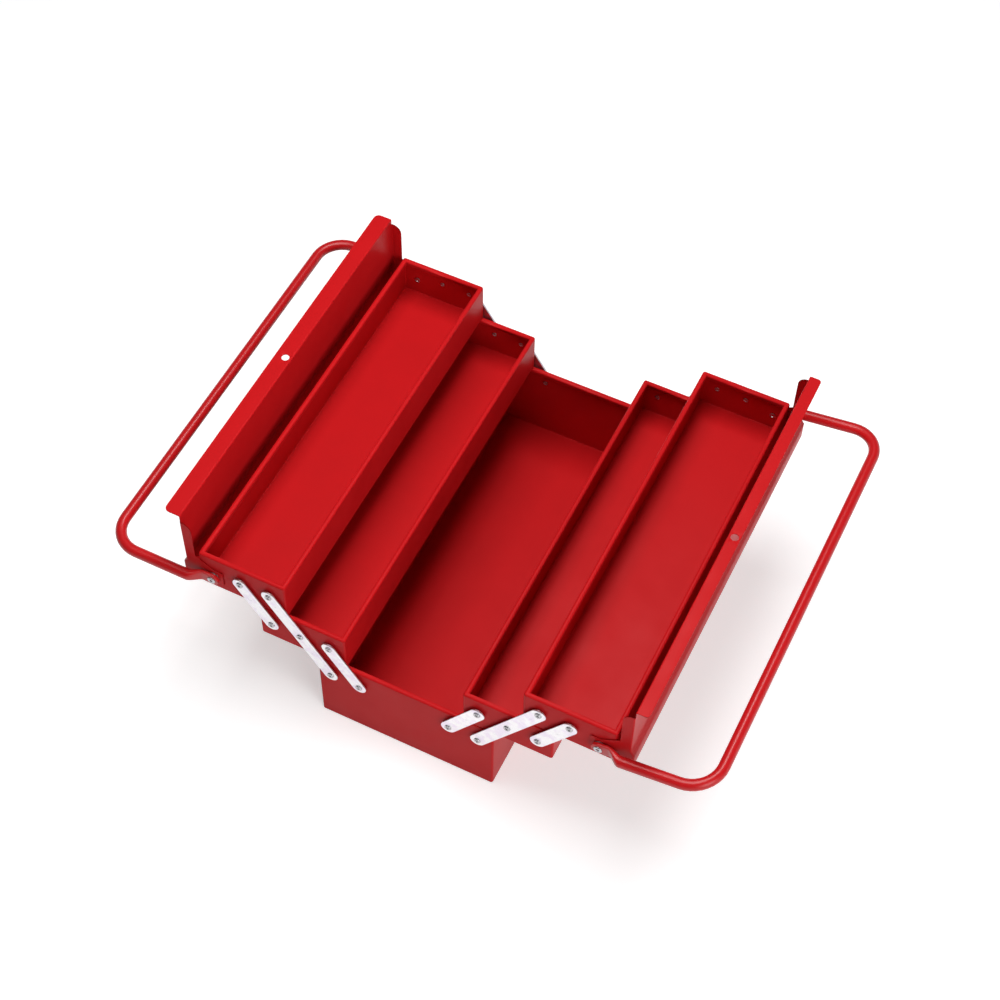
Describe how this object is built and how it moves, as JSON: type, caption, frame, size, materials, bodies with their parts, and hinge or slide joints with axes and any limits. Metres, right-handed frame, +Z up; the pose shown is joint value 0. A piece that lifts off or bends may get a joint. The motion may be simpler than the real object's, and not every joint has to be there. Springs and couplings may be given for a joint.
{
  "type": "cantilever tool box",
  "caption": "Open cantilever tool box of red enamelled steel: nested trays spread on flat plated levers, with hinged lids and bar handles.",
  "frame": {"origin": "centre of the bottom tray's flat underside", "axes": "+X to the right across the opened trays, +Y along the trays to the back, +Z up; rest pose fully open, as in the picture"},
  "size_m": [0.6842, 0.4846, 0.267],
  "materials": {
    "enamel_trays": "glossy red stove enamel with faint orange peel",
    "enamel_lids": "glossy red stove enamel",
    "enamel_handles": "glossy red stove enamel on round bar",
    "plated_levers": "bright zinc plate on rolled flat bar",
    "plated_rivets": "bright zinc plate"
  },
  "bodies": {
    "bottom_tray_body": {"bottom_tray": "enamel_trays", "bottom_tray_rivets_front": "plated_rivets", "bottom_tray_rivets_back": "plated_rivets", "bottom_tray_washers_front": "plated_rivets", "bottom_tray_washers_back": "plated_rivets"},
    "long_levers_left": {"long_lever_left_front": "plated_levers", "long_lever_left_back": "plated_levers"},
    "lower_levers_left": {"lower_lever_left_front": "plated_levers", "lower_lever_left_back": "plated_levers"},
    "upper_levers_left": {"upper_lever_left_front": "plated_levers", "upper_lever_left_back": "plated_levers"},
    "middle_tray_left_body": {"middle_tray_left": "enamel_trays", "middle_tray_left_rivets_front": "plated_rivets", "middle_tray_left_rivets_back": "plated_rivets", "middle_tray_left_washers_front": "plated_rivets", "middle_tray_left_washers_back": "plated_rivets"},
    "top_tray_left_body": {"top_tray_left": "enamel_trays", "top_tray_left_rivets_front": "plated_rivets", "top_tray_left_rivets_back": "plated_rivets", "top_tray_left_washers_front": "plated_rivets", "top_tray_left_washers_back": "plated_rivets", "handle_rivet_left_front": "plated_rivets", "handle_rivet_left_back": "plated_rivets", "handle_washer_left_front": "plated_rivets", "handle_washer_left_back": "plated_rivets"},
    "lid_left_body": {"lid_left": "enamel_lids"},
    "handle_left_body": {"handle_left": "enamel_handles"},
    "long_levers_right": {"long_lever_right_front": "plated_levers", "long_lever_right_back": "plated_levers"},
    "lower_levers_right": {"lower_lever_right_front": "plated_levers", "lower_lever_right_back": "plated_levers"},
    "upper_levers_right": {"upper_lever_right_front": "plated_levers", "upper_lever_right_back": "plated_levers"},
    "middle_tray_right_body": {"middle_tray_right": "enamel_trays", "middle_tray_right_rivets_front": "plated_rivets", "middle_tray_right_rivets_back": "plated_rivets", "middle_tray_right_washers_front": "plated_rivets", "middle_tray_right_washers_back": "plated_rivets"},
    "top_tray_right_body": {"top_tray_right": "enamel_trays", "top_tray_right_rivets_front": "plated_rivets", "top_tray_right_rivets_back": "plated_rivets", "top_tray_right_washers_front": "plated_rivets", "top_tray_right_washers_back": "plated_rivets", "handle_rivet_right_front": "plated_rivets", "handle_rivet_right_back": "plated_rivets", "handle_washer_right_front": "plated_rivets", "handle_washer_right_back": "plated_rivets"},
    "lid_right_body": {"lid_right": "enamel_lids"},
    "handle_right_body": {"handle_right": "enamel_handles"}
  },
  "joints": [
    {"name": "left_trays_swing", "type": "hinge", "parent": "bottom_tray_body", "child": "long_levers_left", "pos_m": [-0.0855, 0, 0.0865], "axis": [0, 1, 0], "range_deg": [0, 64.54]},
    {"name": "left_middle_tray_level", "type": "hinge", "parent": "long_levers_left", "child": "middle_tray_left_body", "pos_m": [-0.11834, 0, 0.1385], "axis": [0, 1, 0], "range_deg": [-64.64, 0.1]},
    {"name": "left_top_tray_level", "type": "hinge", "parent": "long_levers_left", "child": "top_tray_left_body", "pos_m": [-0.15117, 0, 0.1905], "axis": [0, 1, 0], "range_deg": [-64.64, 0.1]},
    {"name": "left_lower_levers_swing", "type": "hinge", "parent": "bottom_tray_body", "child": "lower_levers_left", "pos_m": [-0.052, 0, 0.0865], "axis": [0, 1, 0], "range_deg": [-0.1, 64.64]},
    {"name": "left_upper_levers_swing", "type": "hinge", "parent": "middle_tray_left_body", "child": "upper_levers_left", "pos_m": [-0.15184, 0, 0.1385], "axis": [0, 1, 0], "range_deg": [-0.1, 64.64]},
    {"name": "left_lid_hinge", "type": "hinge", "parent": "top_tray_left_body", "child": "lid_left_body", "pos_m": [-0.21685, 0, 0.182], "axis": [0, 1, 0], "range_deg": [0, 90]},
    {"name": "left_handle_hinge", "type": "hinge", "parent": "top_tray_left_body", "child": "handle_left_body", "pos_m": [-0.21685, 0, 0.182], "axis": [0, 1, 0], "range_deg": [-78, 131]},
    {"name": "right_trays_swing", "type": "hinge", "parent": "bottom_tray_body", "child": "long_levers_right", "pos_m": [0.0855, 0, 0.0865], "axis": [0, -1, 0], "range_deg": [0, 64.54]},
    {"name": "right_middle_tray_level", "type": "hinge", "parent": "long_levers_right", "child": "middle_tray_right_body", "pos_m": [0.11834, 0, 0.1385], "axis": [0, -1, 0], "range_deg": [-64.64, 0.1]},
    {"name": "right_top_tray_level", "type": "hinge", "parent": "long_levers_right", "child": "top_tray_right_body", "pos_m": [0.15117, 0, 0.1905], "axis": [0, -1, 0], "range_deg": [-64.64, 0.1]},
    {"name": "right_lower_levers_swing", "type": "hinge", "parent": "bottom_tray_body", "child": "lower_levers_right", "pos_m": [0.052, 0, 0.0865], "axis": [0, -1, 0], "range_deg": [-0.1, 64.64]},
    {"name": "right_upper_levers_swing", "type": "hinge", "parent": "middle_tray_right_body", "child": "upper_levers_right", "pos_m": [0.15184, 0, 0.1385], "axis": [0, -1, 0], "range_deg": [-0.1, 64.64]},
    {"name": "right_lid_hinge", "type": "hinge", "parent": "top_tray_right_body", "child": "lid_right_body", "pos_m": [0.21685, 0, 0.182], "axis": [0, -1, 0], "range_deg": [0, 90]},
    {"name": "right_handle_hinge", "type": "hinge", "parent": "top_tray_right_body", "child": "handle_right_body", "pos_m": [0.21685, 0, 0.182], "axis": [0, -1, 0], "range_deg": [-87, 122]}
  ],
  "couplings": [
    {"joint": "left_middle_tray_level", "follows": "left_trays_swing", "ratio": -1},
    {"joint": "left_top_tray_level", "follows": "left_trays_swing", "ratio": -1},
    {"joint": "left_lower_levers_swing", "follows": "left_trays_swing", "ratio": 1},
    {"joint": "left_upper_levers_swing", "follows": "left_trays_swing", "ratio": 1},
    {"joint": "right_middle_tray_level", "follows": "right_trays_swing", "ratio": -1},
    {"joint": "right_top_tray_level", "follows": "right_trays_swing", "ratio": -1},
    {"joint": "right_lower_levers_swing", "follows": "right_trays_swing", "ratio": 1},
    {"joint": "right_upper_levers_swing", "follows": "right_trays_swing", "ratio": 1}
  ]
}
